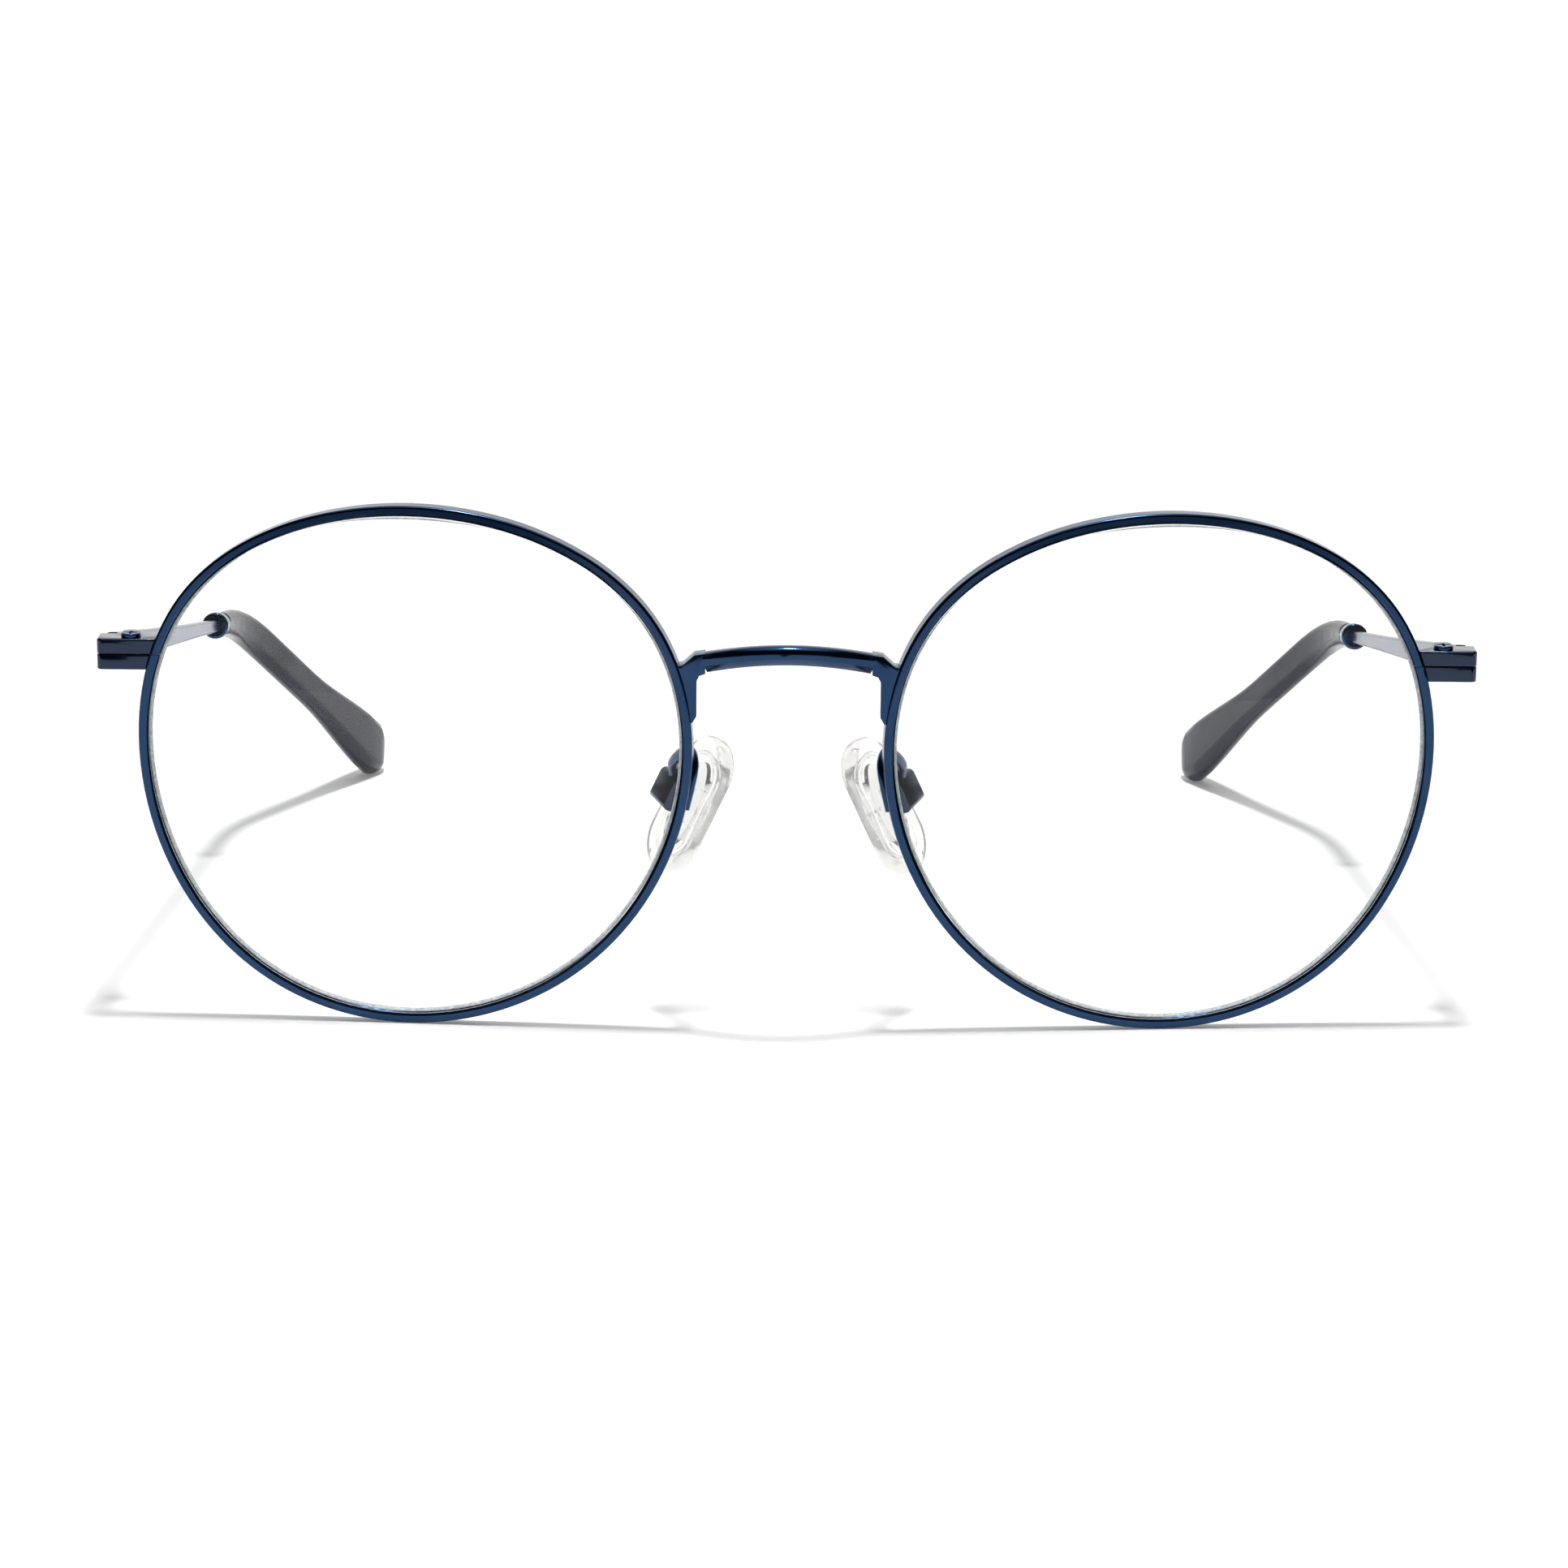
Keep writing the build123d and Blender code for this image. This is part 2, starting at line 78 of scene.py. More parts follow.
# How the nose pads and the front stand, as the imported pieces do
PAD_FRONTAL_ANGLE = math.radians(25)
PAD_SPLAY_ANGLE = math.radians(30)
FRONT_LEAN = math.radians(3.5)
PAD_LENGTH = 0.0144
PAD_WIDTH = 0.0074
PAD_THICKNESS = 0.0022
CHANNEL_LENGTH = 0.0108
CHANNEL_WIDTH = 0.0050
CHANNEL_THICKNESS = 0.00045
CHANNEL_SIDES = 72
CHANNEL_ROUND_STEPS = 10
PAD_SIDES = 64
PAD_EDGE_STEPS = 6
PAD_CROWN_STEPS = ((0.0008, 0.00012), (0.001, 0.00008))
HALVES_APART = 0.00001
END_FACE = 0.9
TOP_FACE = 0.99
TOP_FACE_CORNERS = 20

# Air bubbles in the pads, their spread as shares of the pad's length and width
BUBBLE_SPREAD_LONG = 0.38
BUBBLE_SPREAD_WIDE = 0.34
BUBBLE_HEIGHT = 0.0005
BUBBLE_RADIUS = 0.00010
BUBBLE_RADIUS_MORE = 0.00009
BUBBLE_SIZES = 3

# Lens edge and ear tip
TIP_SMOOTH_ANGLE = math.radians(55)
EDGE_BAND = 0.00036
EDGE_INSIDE = 0.00072
EDGE_DEPTH_SHARE = 2.4
EDGE_ROUND_STEPS = 12
EYE_STEPS = 240
EYE_RADIUS = 0.0259
EYE_WIDER = 0.00060
EYE_SKEW = -0.00010
EYE_BROW_SKEW = -0.00016
EYE_BROW = 0.00061
EYE_SQUARE = -0.00024
FACE_WRAP = math.radians(5.2)

# Share of the light that passes a clear finish, and the gloss of the lacquer's coat
LENS_LIGHT_SHARE = 0.97
PLASTIC_LIGHT_SHARE = 0.8
COAT_ROUGHNESS = 0.06

# Stage; a band is its start, its end and the brightness at each
FLOOR_WIDTH = 2.4
FLOOR_DROP = 0.00002
BEHIND_BAND = (0.25, 0.7, 0.03, 1.0)
ABOVE_BAND = (0.80, 0.97, 0.0, 1.1)
SEEN_STRENGTH = 1.05
LIGHT_SIDEWAYS = 0.03
LIGHT_AHEAD = 0.07
RIM_FACE_SETBACK = 0.005
SENSOR_WIDTH = 36
CAMERA_CLIP_START = 0.01


# Small helpers

def own_material(name):
    """A new node material and the shader that it starts with."""
    finish = bpy.data.materials.new(name)
    finish.use_nodes = True
    return finish, finish.node_tree.nodes["Principled BSDF"]


def add_node(finish, kind, **values):
    """Add a node and set its properties, or its sockets where the name is a socket's."""
    node = finish.node_tree.nodes.new(kind)
    for name, value in values.items():
        if name in node.inputs:
            node.inputs[name].default_value = value
        else:
            setattr(node, name, value)
    return node


def join(finish, start, start_socket, end, end_socket):
    finish.node_tree.links.new(start.outputs[start_socket], end.inputs[end_socket])


def give(node_names, finish):
    """Put a finish on CAD nodes."""
    for name in node_names:
        mesh = frame["nodes"][name].data
        mesh.materials.clear()
        mesh.materials.append(finish)


def both(*kinds):
    return [side + "_" + kind for kind in kinds for side in SIDES]


def clear_selection():
    bpy.ops.object.select_all(action="DESELECT")


def only(piece):
    """Make one piece the selected and active one."""
    clear_selection()
    piece.select_set(True)
    bpy.context.view_layer.objects.active = piece


def copied_mesh(node, name, join_flats=True):
    """A new piece with a merged copy of a CAD node's mesh, its flat faces joined where that is wanted."""
    piece = bpy.data.objects.new(name, frame["nodes"][node].data.copy())
    bpy.context.scene.collection.objects.link(piece)
    piece.data.materials.clear()
    only(piece)
    bpy.ops.object.mode_set(mode="EDIT")
    bpy.ops.mesh.select_all(action="SELECT")
    bpy.ops.mesh.remove_doubles(threshold=MERGE_DISTANCE)
    bpy.ops.mesh.normals_make_consistent(inside=False)
    if join_flats:
        bpy.ops.mesh.dissolve_limited(angle_limit=FLAT_ANGLE)
    bpy.ops.object.mode_set(mode="OBJECT")
    return piece


def turn_faces_outward(piece):
    only(piece)
    bpy.ops.object.mode_set(mode="EDIT")
    bpy.ops.mesh.select_all(action="SELECT")
    bpy.ops.mesh.normals_make_consistent(inside=False)
    bpy.ops.object.mode_set(mode="OBJECT")


def apply_modifier(piece, kind, **values):
    modifier = piece.modifiers.new(kind.title(), kind)
    for name, value in values.items():
        setattr(modifier, name, value)
    only(piece)
    bpy.ops.object.modifier_apply(modifier=modifier.name)


def smooth(piece, angle=SMOOTH_ANGLE):
    only(piece)
    bpy.ops.object.shade_smooth_by_angle(angle=angle)


def softened(node, size, steps=3):
    """A copy of a CAD node with its sharp edges rounded over."""
    piece = copied_mesh(node, node + "_finished")
    apply_modifier(piece, "BEVEL", width=size, segments=steps, limit_method="ANGLE",
                   angle_limit=SHARP_ANGLE, use_clamp_overlap=True, harden_normals=False)
    smooth(piece)
    return piece


def body_of_node(node):
    return frame["nodes"][node]["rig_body"]


def put_in_place(piece, node, finish):
    """Let a new piece stand for a CAD node: its finish and the body that it rides on."""
    piece.data.materials.clear()
    piece.data.materials.append(finish)
    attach(piece, body_of_node(node))
    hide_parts(node)
    return piece


def set_inputs(node, values):
    for name, value in values.items():
        node.inputs[name].default_value = value


def light_shadow(finish, shader, share):
    """Let a share of the light through a clear finish, as real clear plastic does."""
    ray = add_node(finish, "ShaderNodeLightPath")
    amount = add_node(finish, "ShaderNodeMath", operation="MULTIPLY")
    amount.inputs[1].default_value = share
    clear = add_node(finish, "ShaderNodeBsdfTransparent")
    mix = add_node(finish, "ShaderNodeMixShader")
    join(finish, ray, "Is Shadow Ray", amount, 0)
    join(finish, amount, 0, mix, 0)
    join(finish, shader, 0, mix, 1)
    join(finish, clear, 0, mix, 2)
    join(finish, mix, 0, finish.node_tree.nodes["Material Output"], "Surface")


# Finishes

def tinted(colour, factors):
    """A colour with each of its channels scaled, and opaque."""
    return (*(channel * factor for channel, factor in zip(colour, factors)), 1)


def pattern_on(finish, **values):
    """Noise that stays fixed to its piece."""
    place = add_node(finish, "ShaderNodeTexCoord")
    pattern = add_node(finish, "ShaderNodeTexNoise", **values)
    join(finish, place, "Object", pattern, "Vector")
    return pattern


def colour_by(finish, shader, pattern, dark, light, ends=(0.0, 1.0)):
    """Shade the base colour from dark to light by a pattern."""
    shades = add_node(finish, "ShaderNodeValToRGB")
    for element, colour, end in zip(shades.color_ramp.elements, (dark, light), ends):
        element.position = end
        element.color = colour
    join(finish, pattern, "Fac", shades, "Fac")
    join(finish, shades, "Color", shader, "Base Color")


def roughness_by(finish, shader, pattern, low, high):
    gloss = add_node(finish, "ShaderNodeMapRange")
    set_inputs(gloss, {"To Min": low, "To Max": high})
    join(finish, pattern, "Fac", gloss, "Value")
    join(finish, gloss, "Result", shader, "Roughness")


def bump_by(finish, shader, pattern, **values):
    bump = add_node(finish, "ShaderNodeBump", **values)
    join(finish, pattern, "Fac", bump, "Height")
    join(finish, bump, "Normal", shader, "Normal")


def lacquer(name, base, coat):
    """Dark metallic lacquer with fine flake and slow clouds of colour."""
    finish, shader = own_material(name)
    flake = pattern_on(finish, Scale=9000.0, Detail=1.0)
    cloud = pattern_on(finish, Scale=160.0, Detail=3.0)
    colour_by(finish, shader, cloud, tinted(base, (0.82, 0.85, 0.9)),
              tinted(base, (1.15, 1.12, 1.08)), ends=(0.3, 0.7))
    roughness_by(finish, shader, cloud, 0.13, 0.22)
    bump_by(finish, shader, flake, Strength=0.02, Distance=0.00002)
    set_inputs(shader, {"Metallic": 1.0, "Coat Weight": coat, "Coat Roughness": COAT_ROUGHNESS})


def lens_plastic():
    finish, shader = own_material("clear lens")
    haze = pattern_on(finish, Scale=60.0, Detail=2.0)
    roughness_by(finish, shader, haze, 0.0, 0.006)
    set_inputs(shader, {"Base Color": (0.985, 0.99, 0.99, 1), "Transmission Weight": 1.0, "IOR": 1.25})
    light_shadow(finish, shader, LENS_LIGHT_SHARE)


def frosted_edge():
    """The ground edge of a lens, grey and matt with a few sparkles."""
    finish, shader = own_material("frosted lens edge")
    grain = pattern_on(finish, Scale=2600.0, Detail=3.0)
    colour_by(finish, shader, grain, (0.50, 0.53, 0.56, 1), (0.93, 0.95, 0.96, 1), ends=(0.35, 0.7))
    bump_by(finish, shader, grain, Strength=0.25, Distance=0.00004)
    set_inputs(shader, {"Transmission Weight": 0.55, "Roughness": 0.5, "IOR": 1.3})
    light_shadow(finish, shader, PLASTIC_LIGHT_SHARE)


def tip_acetate():
    finish, shader = own_material("navy acetate")
    tone = bpy.context.scene.glasses_colours.tip
    swirl = pattern_on(finish, Scale=220.0, Detail=4.0, Distortion=0.6)
    colour_by(finish, shader, swirl, tinted(tone, (0.8, 0.8, 0.85)), tinted(tone, (1.25, 1.25, 1.2)))
    roughness_by(finish, shader, swirl, 0.10, 0.17)
    set_inputs(shader, {"IOR": 1.2})


def clear_plastic(name, scale, dark, light, values):
    """Clear plastic with a faint milkiness."""
    finish, shader = own_material(name)
    milk = pattern_on(finish, Scale=scale, Detail=2.0)
    colour_by(finish, shader, milk, dark, light)
    set_inputs(shader, values)
    light_shadow(finish, shader, PLASTIC_LIGHT_SHARE)


def pad_silicone():
    clear_plastic("clear silicone", 300.0, (0.96, 0.95, 0.91, 1), (0.99, 0.99, 0.97, 1),
                  {"Transmission Weight": 0.84, "Roughness": 0.09, "IOR": 1.33})


def pad_plate_plastic():
    clear_plastic("clear pad plate", 500.0, (0.94, 0.95, 0.96, 1), (0.99, 0.99, 1.0, 1),
                  {"Transmission Weight": 1.0, "Roughness": 0.06, "IOR": 1.5})


def screw_steel():
    finish, shader = own_material("screw steel")
    grain = pattern_on(finish, Scale=1800.0, Detail=3.0)
    colour_by(finish, shader, grain, (0.5, 0.5, 0.52, 1), (0.65, 0.65, 0.67, 1))
    roughness_by(finish, shader, grain, 0.2, 0.35)
    set_inputs(shader, {"Metallic": 1.0})


# Sizes and colours that a user may change

class GlassesColours(bpy.types.PropertyGroup):
    lacquer: bpy.props.FloatVectorProperty(
        name="Lacquer", description="Blue lacquer over the wire", subtype="COLOR", size=3,
        default=(0.018, 0.047, 0.110), min=0, max=1)
    # A darker copy of the blue lacquer: painted shade on the end blocks and pad boxes
    shade_darkened_lacquer: bpy.props.FloatVectorProperty(
        name="Shade-darkened lacquer", description="Blue lacquer darkened as painted shade on the end blocks and pad boxes", subtype="COLOR",
        size=3, default=(0.009, 0.020, 0.046), min=0, max=1)
    tip: bpy.props.FloatVectorProperty(
        name="Tips", description="Plastic of the ear tips", subtype="COLOR", size=3,
        default=(0.011, 0.012, 0.026), min=0, max=1)


class GlassesSizes(bpy.types.PropertyGroup):
    metal_softness: bpy.props.FloatProperty(
        name="Metal softness", description="Rounding on the edges of the lacquered metal",
        unit="LENGTH", default=0.00014, min=0)
    screw_softness: bpy.props.FloatProperty(
        name="Screw softness", description="Rounding on the edges of the screws",
        unit="LENGTH", default=0.00005, min=0)
    pad_softness: bpy.props.FloatProperty(
        name="Pad softness", description="Rounding where the side of a nose pad meets its faces",
        unit="LENGTH", default=0.0009, min=0)
    bubble_count: bpy.props.IntProperty(
        name="Bubbles", description="Small air bubbles trapped in each nose pad", default=9, min=0)


class GlassesStage(bpy.types.PropertyGroup):
    camera_distance: bpy.props.FloatProperty(
        name="Camera distance", description="From the camera to the rims",
        unit="LENGTH", default=0.5)
    camera_height: bpy.props.FloatProperty(
        name="Camera height", description="Above the floor", unit="LENGTH", default=0.1213)
    camera_side: bpy.props.FloatProperty(
        name="Camera sideways", description="Off the middle of the glasses", unit="LENGTH", default=-0.002)
    camera_pitch: bpy.props.FloatProperty(
        name="Camera pitch", description="How far the camera looks down", subtype="ANGLE",
        default=math.radians(11.01))
    camera_yaw: bpy.props.FloatProperty(
        name="Camera yaw", description="How far the camera turns to the side", subtype="ANGLE",
        default=math.radians(1.23))
    camera_roll: bpy.props.FloatProperty(
        name="Camera roll", description="How far the camera leans", subtype="ANGLE",
        default=math.radians(0.75))
    camera_lens: bpy.props.FloatProperty(
        name="Focal length", description="In millimetres on a 36 mm wide picture", default=121.2)
    camera_shift: bpy.props.FloatProperty(
        name="Camera shift", description="Sideways shift of the picture", default=-0.06)
    reach_behind: bpy.props.FloatProperty(
        name="Floor behind", description="Floor behind the glasses", unit="LENGTH", default=0.34)
    reach_front: bpy.props.FloatProperty(
        name="Floor in front", description="Floor in front of the glasses", unit="LENGTH", default=0.16)
    floor_glow: bpy.props.FloatProperty(
        name="Floor glow", description="Light that a lit white sweep would add to the floor",
        default=0.16, min=0)
    key_power: bpy.props.FloatProperty(
        name="Light power", description="Watts of the overhead light", default=23.0)
    key_size: bpy.props.FloatProperty(
        name="Light size", description="Across the overhead light", unit="LENGTH", default=0.2)
    key_height: bpy.props.FloatProperty(
        name="Light height", description="Above the floor", unit="LENGTH", default=1.9)


def made(name):
    """A finish that was made earlier."""
    return bpy.data.materials[name]


def turned(point, side):
    return Vector((point.x if side == "left" else -point.x, point.y, point.z))


def pad_turn(side):
    """The turn from a pad's own directions, up, across and toward the nose, to the frame's."""
    frontal, splay, lean = PAD_FRONTAL_ANGLE, PAD_SPLAY_ANGLE, FRONT_LEAN
    toward_nose = Vector((-math.cos(splay) * math.cos(frontal), math.sin(splay),
                          -math.cos(splay) * math.sin(frontal)))
    upward = Vector((-math.sin(frontal), 0, math.cos(frontal)))
    leaned = Matrix.Rotation(lean, 3, "X")
    upward, toward_nose = leaned @ upward, leaned @ toward_nose
    upward, toward_nose = turned(upward, side), turned(toward_nose, side)
    across = toward_nose.cross(upward)
    return Matrix((upward, across, toward_nose)).transposed().to_4x4()


def place_in_pad(piece, side):
    """Turn and move a piece drawn in a pad's own directions to that pad, with its place in its mesh."""
    low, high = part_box(side + "_nose_pad")
    piece.matrix_world = Matrix.Translation((low + high) / 2) @ pad_turn(side)
    only(piece)
    bpy.ops.object.transform_apply(location=True, rotation=True, scale=True)
    turn_faces_outward(piece)


def select_by(piece, kind, test):
    """Select a mesh's vertices or faces that pass a test, and leave the piece in edit mode."""
    only(piece)
    bpy.ops.object.mode_set(mode="EDIT")
    bpy.ops.mesh.select_mode(type=kind)
    bpy.ops.mesh.select_all(action="DESELECT")
    bpy.ops.object.mode_set(mode="OBJECT")
    for item in piece.data.vertices if kind == "VERT" else piece.data.polygons:
        item.select = test(item)
    bpy.ops.object.mode_set(mode="EDIT")


def draw_apart(piece, reach):
    """Move the halves of a round form apart, to leave parallel sides and round ends."""
    for sign in (1, -1):
        select_by(piece, "VERT", lambda vertex: vertex.co.x * sign > HALVES_APART)
        bpy.ops.transform.translate(value=(sign * reach, 0, 0))
        bpy.ops.object.mode_set(mode="OBJECT")


def model_nose_pad(side, sizes):
    """A long soft pad: parallel sides, round ends, rolled edges and a slightly crowned face."""
    clear_selection()
    bpy.ops.mesh.primitive_cylinder_add(vertices=PAD_SIDES, radius=PAD_WIDTH / 2, depth=PAD_THICKNESS)
    pad = bpy.context.object
    pad.name = side + "_nose_pad_soft"
    draw_apart(pad, (PAD_LENGTH - PAD_WIDTH) / 2)
    select_by(pad, "FACE", lambda face: abs(face.normal.z) > END_FACE)
    bpy.ops.mesh.bevel(offset=sizes.pad_softness, segments=PAD_EDGE_STEPS, affect="EDGES")
    bpy.ops.object.mode_set(mode="OBJECT")
    for inset, rise in PAD_CROWN_STEPS:
        select_by(pad, "FACE", lambda face: (face.normal.z > TOP_FACE
                                             and len(face.vertices) > TOP_FACE_CORNERS))
        bpy.ops.mesh.inset(thickness=inset)
        bpy.ops.transform.translate(value=(0, 0, rise))
        bpy.ops.object.mode_set(mode="OBJECT")
    place_in_pad(pad, side)
    smooth(pad, ROUND_SMOOTH_ANGLE)
    return put_in_place(pad, side + "_nose_pad", made("clear silicone"))


def model_pad_channel(side):
    """The moulded channel that runs round the hard plate inside the pad."""
    clear_selection()
    bpy.ops.mesh.primitive_torus_add(major_segments=CHANNEL_SIDES, minor_segments=CHANNEL_ROUND_STEPS,
                                     major_radius=CHANNEL_WIDTH / 2, minor_radius=CHANNEL_THICKNESS / 2)
    channel = bpy.context.object
    channel.name = side + "_pad_channel"
    draw_apart(channel, (CHANNEL_LENGTH - CHANNEL_WIDTH) / 2)
    place_in_pad(channel, side)
    smooth(channel, ROUND_SMOOTH_ANGLE)
    channel.data.materials.append(made("clear pad plate"))
    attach(channel, side + "_pad")


def model_bubbles(side, count):
    """Small trapped air bubbles, scattered by the golden angle through the silicone round the plate."""
    clear_selection()
    bubbles = []
    for index in range(count):
        share = (index + 0.5) / count
        turn = index * GOLDEN_ANGLE
        place = (math.cos(turn) * PAD_LENGTH * BUBBLE_SPREAD_LONG * math.sqrt(share),
                 math.sin(turn) * PAD_WIDTH * BUBBLE_SPREAD_WIDE * math.sqrt(share), BUBBLE_HEIGHT)
        radius = BUBBLE_RADIUS + BUBBLE_RADIUS_MORE * (index % BUBBLE_SIZES) / (BUBBLE_SIZES - 1)
        bpy.ops.mesh.primitive_ico_sphere_add(subdivisions=2, location=place, radius=radius)
        bubbles.append(bpy.context.object)
    clear_selection()
    for bubble in bubbles:
        bubble.select_set(True)
    bpy.context.view_layer.objects.active = bubbles[0]
    bpy.ops.object.join()
    cluster = bpy.context.object
    cluster.name = side + "_pad_bubbles"
    bpy.ops.object.transform_apply(location=True, rotation=True, scale=True)
    place_in_pad(cluster, side)
    smooth(cluster, ROUND_SMOOTH_ANGLE)
    cluster.data.materials.append(made("clear pad plate"))
    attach(cluster, side + "_pad")


def model_tip(node):
    """The plastic tip with its stations shaded into one smooth form."""
    piece = copied_mesh(node, node + "_finished", join_flats=False)
    smooth(piece, TIP_SMOOTH_ANGLE)
    return put_in_place(piece, node, made("navy acetate"))


def eye_reach(angle):
    """How far the eye's outline reaches from its centre in one direction."""
    return (EYE_RADIUS
            + EYE_WIDER * math.cos(2 * angle) + EYE_SKEW * math.sin(2 * angle)
            + EYE_BROW_SKEW * math.cos(3 * angle) + EYE_BROW * math.sin(3 * angle)
            + EYE_SQUARE * math.cos(4 * angle))


def box_middle(points):
    low = Vector([min(point[axis] for point in points) for axis in range(3)])
    high = Vector([max(point[axis] for point in points) for axis in range(3)])
    return (low + high) / 2


def place_in_eye(piece, side):
    """Wrap and lean a ring drawn flat round the eye, then centre it in that side's rim."""
    turn = Matrix.Rotation(FRONT_LEAN, 4, "X") @ Matrix.Rotation(FACE_WRAP, 4, "Z")
    outline = []
    for step in range(EYE_STEPS):
        angle = 2 * math.pi * step / EYE_STEPS
        reach = eye_reach(angle)
        outline.append(turn @ Vector((reach * math.cos(angle), 0, reach * math.sin(angle))))
    low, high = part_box("left_rim")
    offset = (low + high) / 2 - box_middle(outline)
    for vertex in piece.data.vertices:
        vertex.co = turned(turn @ vertex.co + offset, side)
    turn_faces_outward(piece)


def model_lens_edge(side):
    """The ground band just inside the rim: a thin ring drawn round, then drawn out to the eye's outline."""
    clear_selection()
    bpy.ops.mesh.primitive_torus_add(major_segments=EYE_STEPS, minor_segments=EDGE_ROUND_STEPS,
                                     major_radius=EYE_RADIUS, minor_radius=EDGE_BAND / 2,
                                     rotation=(math.pi / 2, 0, 0))
    ring = bpy.context.object
    ring.name = side + "_lens_edge"
    bpy.ops.object.transform_apply(location=True, rotation=True, scale=True)
    for vertex in ring.data.vertices:
        angle = math.atan2(vertex.co.z, vertex.co.x)
        across = math.hypot(vertex.co.x, vertex.co.z) - EYE_RADIUS
        reach = eye_reach(angle) - EDGE_INSIDE + across
        vertex.co = (reach * math.cos(angle), vertex.co.y * EDGE_DEPTH_SHARE, reach * math.sin(angle))
    place_in_eye(ring, side)
    smooth(ring, ROUND_SMOOTH_ANGLE)
    ring.data.materials.append(made("frosted lens edge"))
    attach(ring, "front")


def model_metal(nodes, finish, size):
    for node in nodes:
        put_in_place(softened(node, size), node, made(finish))


class OBJECT_OT_glasses_finishes(bpy.types.Operator):
    """Make the finishes that the pieces share"""
    bl_idname = "object.glasses_finishes"
    bl_label = "Finishes"

    def execute(self, context):
        colours = context.scene.glasses_colours
        lacquer("blue lacquer", colours.lacquer, coat=0.12)
        # The same lacquer again, darker: painted shade for the end blocks and pad boxes
        lacquer("shade-darkened lacquer", colours.shade_darkened_lacquer, coat=0.5)
        for make_finish in (lens_plastic, frosted_edge, tip_acetate, pad_silicone,
                            pad_plate_plastic, screw_steel):
            make_finish()
        return {"FINISHED"}


class OBJECT_OT_glasses_rims(bpy.types.Operator):
    """Lacquer the two rims"""
    bl_idname = "object.glasses_rims"
    bl_label = "Rims"

    def execute(self, context):
        give(both("rim"), made("blue lacquer"))
        return {"FINISHED"}


class OBJECT_OT_glasses_lenses(bpy.types.Operator):
    """Build the two clear lenses with their ground edges"""
    bl_idname = "object.glasses_lenses"
    bl_label = "Lenses"

    def execute(self, context):
        give(both("lens"), made("clear lens"))
        for side in SIDES:
            model_lens_edge(side)
        return {"FINISHED"}


class OBJECT_OT_glasses_bridge(bpy.types.Operator):
    """Build the arched bridge with softened edges"""
    bl_idname = "object.glasses_bridge"
    bl_label = "Bridge"

    def execute(self, context):
        model_metal(["bridge"], "blue lacquer", context.scene.glasses_sizes.metal_softness)
        return {"FINISHED"}


class OBJECT_OT_glasses_endpieces(bpy.types.Operator):
    """Build the blocks at the outer ends of the front"""
    bl_idname = "object.glasses_endpieces"
    bl_label = "Endpieces"

    def execute(self, context):
        # The end blocks take the darker copy of the blue lacquer, as painted shade
        model_metal(both("upper_block", "lower_block"), "shade-darkened lacquer",
                    context.scene.glasses_sizes.metal_softness)
        return {"FINISHED"}


class OBJECT_OT_glasses_hinges(bpy.types.Operator):
    """Build both halves of the two hinges"""
    bl_idname = "object.glasses_hinges"
    bl_label = "Hinges"

    def execute(self, context):
        model_metal(both("front_hinge", "temple_hinge"), "blue lacquer",
                    context.scene.glasses_sizes.screw_softness)
        return {"FINISHED"}


class OBJECT_OT_glasses_screws(bpy.types.Operator):
    """Build the rim, hinge and pad screws"""
    bl_idname = "object.glasses_screws"
    bl_label = "Screws"

    def execute(self, context):
        size = context.scene.glasses_sizes.screw_softness
        model_metal(both("hinge_screw", "pad_screw"), "screw steel", size)
        model_metal(both("rim_screw"), "blue lacquer", size)
        return {"FINISHED"}


class OBJECT_OT_glasses_temples(bpy.types.Operator):
    """Build the two temple bars and their collars"""
    bl_idname = "object.glasses_temples"
    bl_label = "Temples"

    def execute(self, context):
        give(both("temple"), made("blue lacquer"))
        model_metal(both("tip_collar"), "blue lacquer",
                    context.scene.glasses_sizes.screw_softness)
        return {"FINISHED"}


class OBJECT_OT_glasses_tips(bpy.types.Operator):
    """Build the two plastic ear tips"""
    bl_idname = "object.glasses_tips"
    bl_label = "Ear Tips"

    def execute(self, context):
        for node in both("temple_tip"):
            model_tip(node)
        return {"FINISHED"}


class OBJECT_OT_glasses_pad_arms(bpy.types.Operator):
    """Build the wire arms and the boxes that hold the nose pads"""
    bl_idname = "object.glasses_pad_arms"
    bl_label = "Pad Arms"

    def execute(self, context):
        give(both("pad_arm"), made("blue lacquer"))
        # The pad boxes take the darker copy of the blue lacquer, as painted shade
        model_metal(both("pad_box"), "shade-darkened lacquer", context.scene.glasses_sizes.metal_softness)
        return {"FINISHED"}


class OBJECT_OT_glasses_nose_pads(bpy.types.Operator):
    """Build the soft nose pads with their plates, channels and bubbles"""
    bl_idname = "object.glasses_nose_pads"
    bl_label = "Nose Pads"

    def execute(self, context):
        sizes = context.scene.glasses_sizes
        give(both("pad_core"), made("clear pad plate"))
        for side in SIDES:
            model_nose_pad(side, sizes)
            model_pad_channel(side)
            if sizes.bubble_count:
                model_bubbles(side, sizes.bubble_count)
        return {"FINISHED"}


class OBJECT_OT_glasses_stage(bpy.types.Operator):
    """Build the pale floor, the studio light and the camera"""
    bl_idname = "object.glasses_stage"
    bl_label = "Stage"

    def execute(self, context):
        build_floor(context.scene.glasses_stage)
        build_world()
        build_key_light(context.scene.glasses_stage)
        build_camera(context.scene.glasses_stage)
        return {"FINISHED"}


def rims_front():
    """How far forward the rims reach."""
    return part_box("left_rim")[0][1]


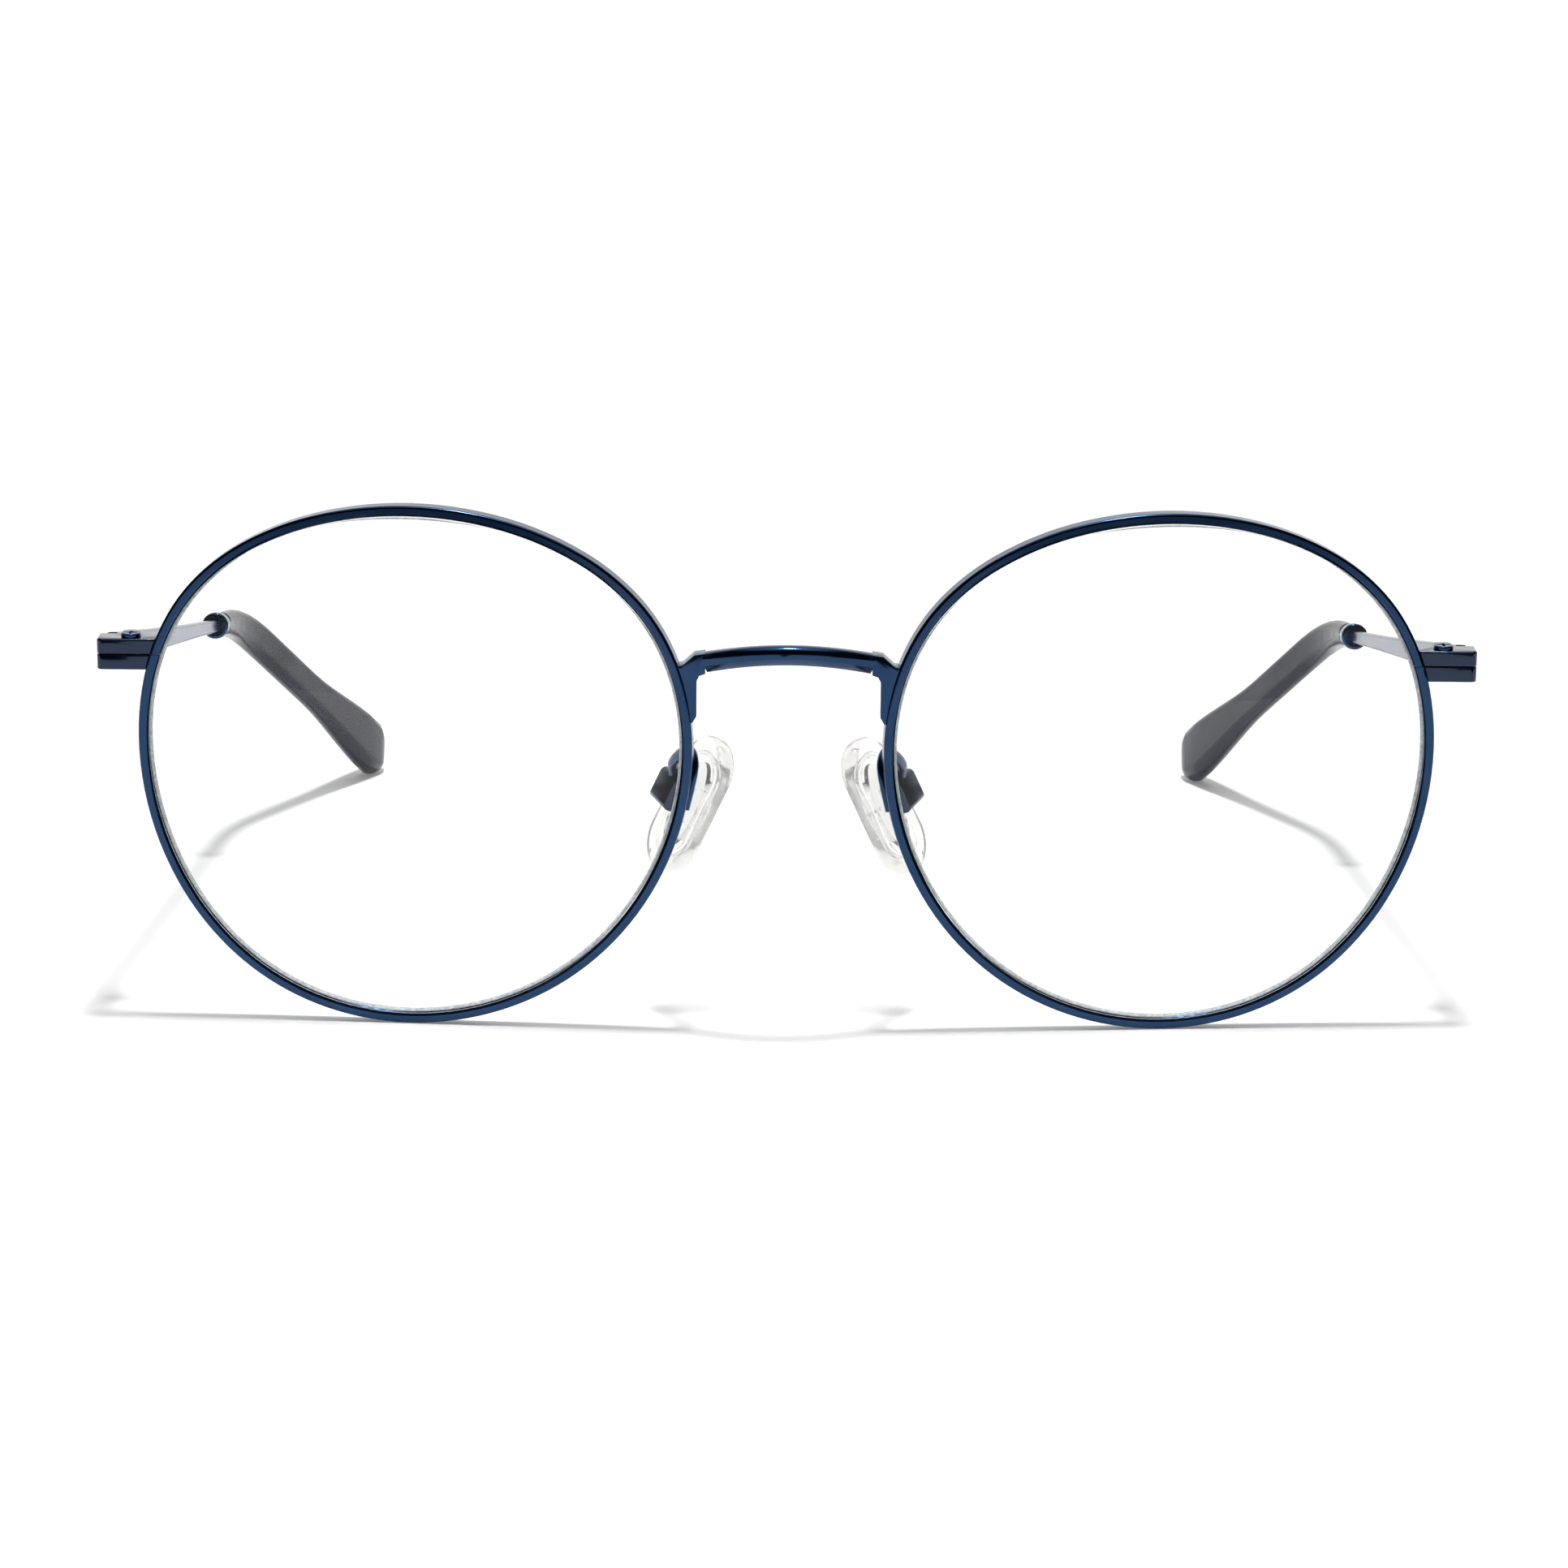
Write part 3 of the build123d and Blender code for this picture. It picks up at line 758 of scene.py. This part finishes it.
def build_floor(settings):
    front_y = rims_front() - settings.reach_front
    back_y = rims_front() + settings.reach_behind
    clear_selection()
    bpy.ops.mesh.primitive_plane_add(size=1, location=(0, (front_y + back_y) / 2, -FLOOR_DROP))
    floor = bpy.context.object
    floor.name = "floor"
    floor.scale = (FLOOR_WIDTH, back_y - front_y, 1)
    bpy.ops.object.transform_apply(location=True, rotation=True, scale=True)
    finish, shader = own_material("pale floor")
    set_inputs(shader, {"Base Color": (0.97, 0.97, 0.97, 1), "Roughness": 0.8, "Specular IOR Level": 0.0,
                        "Emission Color": (1, 1, 1, 1), "Emission Strength": settings.floor_glow})
    floor.data.materials.append(finish)


def build_world():
    """White all round to the eye; to the light, dark in front and bright behind and overhead."""
    world = bpy.data.worlds.new("studio")
    world.use_nodes = True
    bpy.context.scene.world = world
    nodes = world.node_tree.nodes
    links = world.node_tree.links

    def band(source, low, high, bottom, top):
        scale = nodes.new("ShaderNodeMapRange")
        scale.interpolation_type = "SMOOTHSTEP"
        set_inputs(scale, {"From Min": low, "From Max": high, "To Min": bottom, "To Max": top})
        links.new(source, scale.inputs["Value"])
        return scale.outputs["Result"]

    def either(first, second):
        larger = nodes.new("ShaderNodeMath")
        larger.operation = "MAXIMUM"
        links.new(first, larger.inputs[0])
        links.new(second, larger.inputs[1])
        return larger.outputs[0]

    place = nodes.new("ShaderNodeTexCoord")
    split = nodes.new("ShaderNodeSeparateXYZ")
    links.new(place.outputs["Generated"], split.inputs["Vector"])
    behind = band(split.outputs["Y"], *BEHIND_BAND)
    above = band(split.outputs["Z"], *ABOVE_BAND)
    studio = either(behind, above)
    sky = nodes["Background"]
    links.new(studio, sky.inputs["Color"])
    sky.inputs["Strength"].default_value = 1.0
    seen = nodes.new("ShaderNodeBackground")
    set_inputs(seen, {"Color": (1, 1, 1, 1), "Strength": SEEN_STRENGTH})
    ray = nodes.new("ShaderNodeLightPath")
    mix = nodes.new("ShaderNodeMixShader")
    straight = either(ray.outputs["Is Camera Ray"], ray.outputs["Is Transmission Ray"])
    links.new(straight, mix.inputs[0])
    links.new(sky.outputs[0], mix.inputs[1])
    links.new(seen.outputs[0], mix.inputs[2])
    links.new(mix.outputs[0], nodes["World Output"].inputs["Surface"])


def build_key_light(settings):
    clear_selection()
    bpy.ops.object.light_add(type="AREA", location=(LIGHT_SIDEWAYS, rims_front() - LIGHT_AHEAD,
                                                    settings.key_height))
    key = bpy.context.object
    key.name = "overhead light"
    key.data.shape = "DISK"
    key.data.size = settings.key_size
    key.data.energy = settings.key_power


def build_camera(settings):
    pitch, yaw, roll = settings.camera_pitch, settings.camera_yaw, settings.camera_roll
    ahead = Vector((math.sin(yaw) * math.cos(pitch), math.cos(yaw) * math.cos(pitch), -math.sin(pitch)))
    right = Vector((math.cos(yaw), -math.sin(yaw), 0))
    up = right.cross(ahead)
    leaned_right = right * math.cos(roll) + up * math.sin(roll)
    leaned_up = up * math.cos(roll) - right * math.sin(roll)
    turn = Matrix((leaned_right, leaned_up, -ahead)).transposed().to_4x4()
    clear_selection()
    bpy.ops.object.camera_add()
    camera = bpy.context.object
    camera.name = "camera"
    place = Vector((settings.camera_side, rims_front() + RIM_FACE_SETBACK - settings.camera_distance,
                    settings.camera_height))
    camera.matrix_world = Matrix.Translation(place) @ turn
    camera.data.sensor_width = SENSOR_WIDTH
    camera.data.lens = settings.camera_lens
    camera.data.shift_x = settings.camera_shift
    camera.data.clip_start = CAMERA_CLIP_START
    bpy.context.scene.camera = camera
    bpy.context.scene.view_settings.view_transform = "Standard"
    bpy.context.scene.view_settings.look = "None"


PIECE_OPERATORS = (
    OBJECT_OT_glasses_finishes, OBJECT_OT_glasses_rims, OBJECT_OT_glasses_lenses,
    OBJECT_OT_glasses_bridge, OBJECT_OT_glasses_endpieces, OBJECT_OT_glasses_hinges,
    OBJECT_OT_glasses_screws, OBJECT_OT_glasses_temples, OBJECT_OT_glasses_tips,
    OBJECT_OT_glasses_pad_arms, OBJECT_OT_glasses_nose_pads, OBJECT_OT_glasses_stage)


class VIEW3D_PT_glasses(bpy.types.Panel):
    """Lists the pieces, sizes and colours of the eyeglasses"""
    bl_idname = "VIEW3D_PT_glasses"
    bl_label = "Round Wire Eyeglasses"
    bl_space_type = "VIEW_3D"
    bl_region_type = "UI"
    bl_category = "Eyeglasses"

    def draw(self, context):
        scene = context.scene
        for group in (scene.glasses_colours, scene.glasses_sizes, scene.glasses_stage):
            box = self.layout.box()
            for name in group.__annotations__:
                box.prop(group, name)
        for operator in PIECE_OPERATORS:
            self.layout.operator(operator.bl_idname)


CLASSES = (GlassesColours, GlassesSizes, GlassesStage, *PIECE_OPERATORS, VIEW3D_PT_glasses)


def register():
    for item in CLASSES:
        bpy.utils.register_class(item)
    bpy.types.Scene.glasses_colours = bpy.props.PointerProperty(type=GlassesColours)
    bpy.types.Scene.glasses_sizes = bpy.props.PointerProperty(type=GlassesSizes)
    bpy.types.Scene.glasses_stage = bpy.props.PointerProperty(type=GlassesStage)


def unregister():
    del bpy.types.Scene.glasses_stage
    del bpy.types.Scene.glasses_sizes
    del bpy.types.Scene.glasses_colours
    for item in reversed(CLASSES):
        bpy.utils.unregister_class(item)


def main():
    register()
    bpy.ops.object.glasses_finishes()
    bpy.ops.object.glasses_rims()
    bpy.ops.object.glasses_lenses()
    bpy.ops.object.glasses_bridge()
    bpy.ops.object.glasses_endpieces()
    bpy.ops.object.glasses_hinges()
    bpy.ops.object.glasses_screws()
    bpy.ops.object.glasses_temples()
    bpy.ops.object.glasses_tips()
    bpy.ops.object.glasses_pad_arms()
    bpy.ops.object.glasses_nose_pads()
    bpy.ops.object.glasses_stage()


if __name__ == "__main__":
    main()
